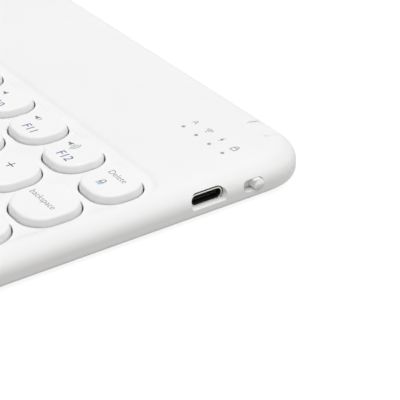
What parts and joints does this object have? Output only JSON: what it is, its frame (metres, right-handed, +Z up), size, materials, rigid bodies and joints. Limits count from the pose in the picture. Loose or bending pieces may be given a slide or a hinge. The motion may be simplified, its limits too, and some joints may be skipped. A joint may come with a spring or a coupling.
{
  "type": "tablet keyboard case",
  "caption": "Thin white wireless keyboard of a tablet case, with rounded key caps in a shallow well, a raised back zone, charging port, slide switch and indicator lamps.",
  "frame": {"origin": "under the middle of the case, on the surface that the rubber feet stand on", "axes": "+X to the right-hand side of the keys, +Y to the back edge, +Z up"},
  "size_m": [0.2428, 0.1526, 0.0099],
  "materials": {
    "cover_white": "satin",
    "cover_under": "satin",
    "key_white": "satin",
    "knob_grey": "satin",
    "plate_steel": "bare",
    "membrane_film": "printed film",
    "dome_rubber": "soft",
    "scissor_plastic": "moulded",
    "wire_steel": "drawn",
    "board_laminate": "solder mask",
    "chip_black": "moulded",
    "screw_steel": "plated",
    "port_steel": "plated",
    "tongue_black": "moulded",
    "switch_steel": "plated",
    "lamp_resin": "clear",
    "pipe_smoke": "smoked",
    "battery_foil": "foil",
    "lead_red": "insulated",
    "tail_film": "film",
    "foot_rubber": "soft",
    "magnet_nickel": "plated"
  },
  "bodies": {
    "case": {"battery_cell": "battery_foil", "battery_leads": "lead_red", "board_chips": "chip_black", "board_screws": "screw_steel", "bottom_cover": "cover_under", "case_screws": "screw_steel", "contact_membrane": "membrane_film", "holding_magnets": "magnet_nickel", "indicator_leds": "lamp_resin", "key_plate": "plate_steel", "light_pipes": "pipe_smoke", "main_board": "board_laminate", "membrane_tail": "tail_film", "rubber_domes": "dome_rubber", "rubber_feet": "foot_rubber", "scissor_inner_frames": "scissor_plastic", "scissor_outer_frames": "scissor_plastic", "slide_switch_body": "switch_steel", "stabiliser_wires": "wire_steel", "top_cover": "cover_white", "usb_c_shell": "port_steel", "usb_c_tongue": "tongue_black"},
    "key_escape": {"key_escape": "key_white"},
    "keys_f1_to_f9": {"keys_f1_to_f9": "key_white"},
    "key_f10": {"key_f10": "key_white"},
    "key_f11": {"key_f11": "key_white"},
    "key_f12": {"key_f12": "key_white"},
    "key_delete": {"key_delete": "key_white"},
    "keys_digits": {"keys_digits": "key_white"},
    "key_minus": {"key_minus": "key_white"},
    "key_equals": {"key_equals": "key_white"},
    "key_backspace": {"key_backspace": "key_white"},
    "key_tab": {"key_tab": "key_white"},
    "keys_q_to_p": {"keys_q_to_p": "key_white"},
    "key_bracket_left": {"key_bracket_left": "key_white"},
    "key_bracket_right": {"key_bracket_right": "key_white"},
    "key_caps_lock": {"key_caps_lock": "key_white"},
    "keys_a_to_l": {"keys_a_to_l": "key_white"},
    "key_semicolon": {"key_semicolon": "key_white"},
    "key_quote": {"key_quote": "key_white"},
    "key_enter": {"key_enter": "key_white"},
    "key_shift_left": {"key_shift_left": "key_white"},
    "keys_z_to_slash": {"keys_z_to_slash": "key_white"},
    "key_shift_right": {"key_shift_right": "key_white"},
    "key_function": {"key_function": "key_white"},
    "key_control": {"key_control": "key_white"},
    "key_option_left": {"key_option_left": "key_white"},
    "key_command_left": {"key_command_left": "key_white"},
    "key_space": {"key_space": "key_white"},
    "key_command_right": {"key_command_right": "key_white"},
    "key_arrow_left": {"key_arrow_left": "key_white"},
    "key_arrow_up": {"key_arrow_up": "key_white"},
    "key_arrow_down": {"key_arrow_down": "key_white"},
    "key_arrow_right": {"key_arrow_right": "key_white"},
    "switch": {"switch_knob": "knob_grey", "switch_lever": "chip_black"}
  },
  "joints": [
    {"name": "key_escape_press", "type": "slide", "parent": "case", "child": "key_escape", "axis": [0, 0, -1], "range_m": [0, 0.0016], "stiffness_N_per_m": 250, "springref_m": -0.0004, "deforming": ["rubber_domes", "scissor_outer_frames", "scissor_inner_frames"]},
    {"name": "keys_f1_to_f9_press", "type": "slide", "parent": "case", "child": "keys_f1_to_f9", "axis": [0, 0, -1], "range_m": [0, 0.0016], "stiffness_N_per_m": 250, "springref_m": -0.0004, "deforming": ["rubber_domes", "scissor_outer_frames", "scissor_inner_frames"]},
    {"name": "key_f10_press", "type": "slide", "parent": "case", "child": "key_f10", "axis": [0, 0, -1], "range_m": [0, 0.0016], "stiffness_N_per_m": 250, "springref_m": -0.0004, "deforming": ["rubber_domes", "scissor_outer_frames", "scissor_inner_frames"]},
    {"name": "key_f11_press", "type": "slide", "parent": "case", "child": "key_f11", "axis": [0, 0, -1], "range_m": [0, 0.0016], "stiffness_N_per_m": 250, "springref_m": -0.0004, "deforming": ["rubber_domes", "scissor_outer_frames", "scissor_inner_frames"]},
    {"name": "key_f12_press", "type": "slide", "parent": "case", "child": "key_f12", "axis": [0, 0, -1], "range_m": [0, 0.0016], "stiffness_N_per_m": 250, "springref_m": -0.0004, "deforming": ["rubber_domes", "scissor_outer_frames", "scissor_inner_frames"]},
    {"name": "key_delete_press", "type": "slide", "parent": "case", "child": "key_delete", "axis": [0, 0, -1], "range_m": [0, 0.0016], "stiffness_N_per_m": 250, "springref_m": -0.0004, "deforming": ["rubber_domes", "scissor_outer_frames", "scissor_inner_frames"]},
    {"name": "keys_digits_press", "type": "slide", "parent": "case", "child": "keys_digits", "axis": [0, 0, -1], "range_m": [0, 0.0016], "stiffness_N_per_m": 250, "springref_m": -0.0004, "deforming": ["rubber_domes", "scissor_outer_frames", "scissor_inner_frames"]},
    {"name": "key_minus_press", "type": "slide", "parent": "case", "child": "key_minus", "axis": [0, 0, -1], "range_m": [0, 0.0016], "stiffness_N_per_m": 250, "springref_m": -0.0004, "deforming": ["rubber_domes", "scissor_outer_frames", "scissor_inner_frames"]},
    {"name": "key_equals_press", "type": "slide", "parent": "case", "child": "key_equals", "axis": [0, 0, -1], "range_m": [0, 0.0016], "stiffness_N_per_m": 250, "springref_m": -0.0004, "deforming": ["rubber_domes", "scissor_outer_frames", "scissor_inner_frames"]},
    {"name": "key_backspace_press", "type": "slide", "parent": "case", "child": "key_backspace", "axis": [0, 0, -1], "range_m": [0, 0.0016], "stiffness_N_per_m": 250, "springref_m": -0.0004, "deforming": ["rubber_domes", "scissor_outer_frames", "scissor_inner_frames"]},
    {"name": "key_tab_press", "type": "slide", "parent": "case", "child": "key_tab", "axis": [0, 0, -1], "range_m": [0, 0.0016], "stiffness_N_per_m": 250, "springref_m": -0.0004, "deforming": ["rubber_domes", "scissor_outer_frames", "scissor_inner_frames"]},
    {"name": "keys_q_to_p_press", "type": "slide", "parent": "case", "child": "keys_q_to_p", "axis": [0, 0, -1], "range_m": [0, 0.0016], "stiffness_N_per_m": 250, "springref_m": -0.0004, "deforming": ["rubber_domes", "scissor_outer_frames", "scissor_inner_frames"]},
    {"name": "key_bracket_left_press", "type": "slide", "parent": "case", "child": "key_bracket_left", "axis": [0, 0, -1], "range_m": [0, 0.0016], "stiffness_N_per_m": 250, "springref_m": -0.0004, "deforming": ["rubber_domes", "scissor_outer_frames", "scissor_inner_frames"]},
    {"name": "key_bracket_right_press", "type": "slide", "parent": "case", "child": "key_bracket_right", "axis": [0, 0, -1], "range_m": [0, 0.0016], "stiffness_N_per_m": 250, "springref_m": -0.0004, "deforming": ["rubber_domes", "scissor_outer_frames", "scissor_inner_frames"]},
    {"name": "key_caps_lock_press", "type": "slide", "parent": "case", "child": "key_caps_lock", "axis": [0, 0, -1], "range_m": [0, 0.0016], "stiffness_N_per_m": 250, "springref_m": -0.0004, "deforming": ["rubber_domes", "scissor_outer_frames", "scissor_inner_frames"]},
    {"name": "keys_a_to_l_press", "type": "slide", "parent": "case", "child": "keys_a_to_l", "axis": [0, 0, -1], "range_m": [0, 0.0016], "stiffness_N_per_m": 250, "springref_m": -0.0004, "deforming": ["rubber_domes", "scissor_outer_frames", "scissor_inner_frames"]},
    {"name": "key_semicolon_press", "type": "slide", "parent": "case", "child": "key_semicolon", "axis": [0, 0, -1], "range_m": [0, 0.0016], "stiffness_N_per_m": 250, "springref_m": -0.0004, "deforming": ["rubber_domes", "scissor_outer_frames", "scissor_inner_frames"]},
    {"name": "key_quote_press", "type": "slide", "parent": "case", "child": "key_quote", "axis": [0, 0, -1], "range_m": [0, 0.0016], "stiffness_N_per_m": 250, "springref_m": -0.0004, "deforming": ["rubber_domes", "scissor_outer_frames", "scissor_inner_frames"]},
    {"name": "key_enter_press", "type": "slide", "parent": "case", "child": "key_enter", "axis": [0, 0, -1], "range_m": [0, 0.0016], "stiffness_N_per_m": 250, "springref_m": -0.0004, "deforming": ["rubber_domes", "scissor_outer_frames", "scissor_inner_frames"]},
    {"name": "key_shift_left_press", "type": "slide", "parent": "case", "child": "key_shift_left", "axis": [0, 0, -1], "range_m": [0, 0.0016], "stiffness_N_per_m": 250, "springref_m": -0.0004, "deforming": ["rubber_domes", "scissor_outer_frames", "scissor_inner_frames"]},
    {"name": "keys_z_to_slash_press", "type": "slide", "parent": "case", "child": "keys_z_to_slash", "axis": [0, 0, -1], "range_m": [0, 0.0016], "stiffness_N_per_m": 250, "springref_m": -0.0004, "deforming": ["rubber_domes", "scissor_outer_frames", "scissor_inner_frames"]},
    {"name": "key_shift_right_press", "type": "slide", "parent": "case", "child": "key_shift_right", "axis": [0, 0, -1], "range_m": [0, 0.0016], "stiffness_N_per_m": 250, "springref_m": -0.0004, "deforming": ["rubber_domes", "scissor_outer_frames", "scissor_inner_frames"]},
    {"name": "key_function_press", "type": "slide", "parent": "case", "child": "key_function", "axis": [0, 0, -1], "range_m": [0, 0.0016], "stiffness_N_per_m": 250, "springref_m": -0.0004, "deforming": ["rubber_domes", "scissor_outer_frames", "scissor_inner_frames"]},
    {"name": "key_control_press", "type": "slide", "parent": "case", "child": "key_control", "axis": [0, 0, -1], "range_m": [0, 0.0016], "stiffness_N_per_m": 250, "springref_m": -0.0004, "deforming": ["rubber_domes", "scissor_outer_frames", "scissor_inner_frames"]},
    {"name": "key_option_left_press", "type": "slide", "parent": "case", "child": "key_option_left", "axis": [0, 0, -1], "range_m": [0, 0.0016], "stiffness_N_per_m": 250, "springref_m": -0.0004, "deforming": ["rubber_domes", "scissor_outer_frames", "scissor_inner_frames"]},
    {"name": "key_command_left_press", "type": "slide", "parent": "case", "child": "key_command_left", "axis": [0, 0, -1], "range_m": [0, 0.0016], "stiffness_N_per_m": 250, "springref_m": -0.0004, "deforming": ["rubber_domes", "scissor_outer_frames", "scissor_inner_frames"]},
    {"name": "key_space_press", "type": "slide", "parent": "case", "child": "key_space", "axis": [0, 0, -1], "range_m": [0, 0.0016], "stiffness_N_per_m": 250, "springref_m": -0.0004, "deforming": ["rubber_domes", "scissor_outer_frames", "scissor_inner_frames"]},
    {"name": "key_command_right_press", "type": "slide", "parent": "case", "child": "key_command_right", "axis": [0, 0, -1], "range_m": [0, 0.0016], "stiffness_N_per_m": 250, "springref_m": -0.0004, "deforming": ["rubber_domes", "scissor_outer_frames", "scissor_inner_frames"]},
    {"name": "key_arrow_left_press", "type": "slide", "parent": "case", "child": "key_arrow_left", "axis": [0, 0, -1], "range_m": [0, 0.0016], "stiffness_N_per_m": 250, "springref_m": -0.0004, "deforming": ["rubber_domes", "scissor_outer_frames", "scissor_inner_frames"]},
    {"name": "key_arrow_up_press", "type": "slide", "parent": "case", "child": "key_arrow_up", "axis": [0, 0, -1], "range_m": [0, 0.0016], "stiffness_N_per_m": 250, "springref_m": -0.0004, "deforming": ["rubber_domes", "scissor_outer_frames", "scissor_inner_frames"]},
    {"name": "key_arrow_down_press", "type": "slide", "parent": "case", "child": "key_arrow_down", "axis": [0, 0, -1], "range_m": [0, 0.0016], "stiffness_N_per_m": 250, "springref_m": -0.0004, "deforming": ["rubber_domes", "scissor_outer_frames", "scissor_inner_frames"]},
    {"name": "key_arrow_right_press", "type": "slide", "parent": "case", "child": "key_arrow_right", "axis": [0, 0, -1], "range_m": [0, 0.0016], "stiffness_N_per_m": 250, "springref_m": -0.0004, "deforming": ["rubber_domes", "scissor_outer_frames", "scissor_inner_frames"]},
    {"name": "power_switch_slide", "type": "slide", "parent": "case", "child": "switch", "axis": [0, -1, 0], "range_m": [0, 0.002]}
  ]
}
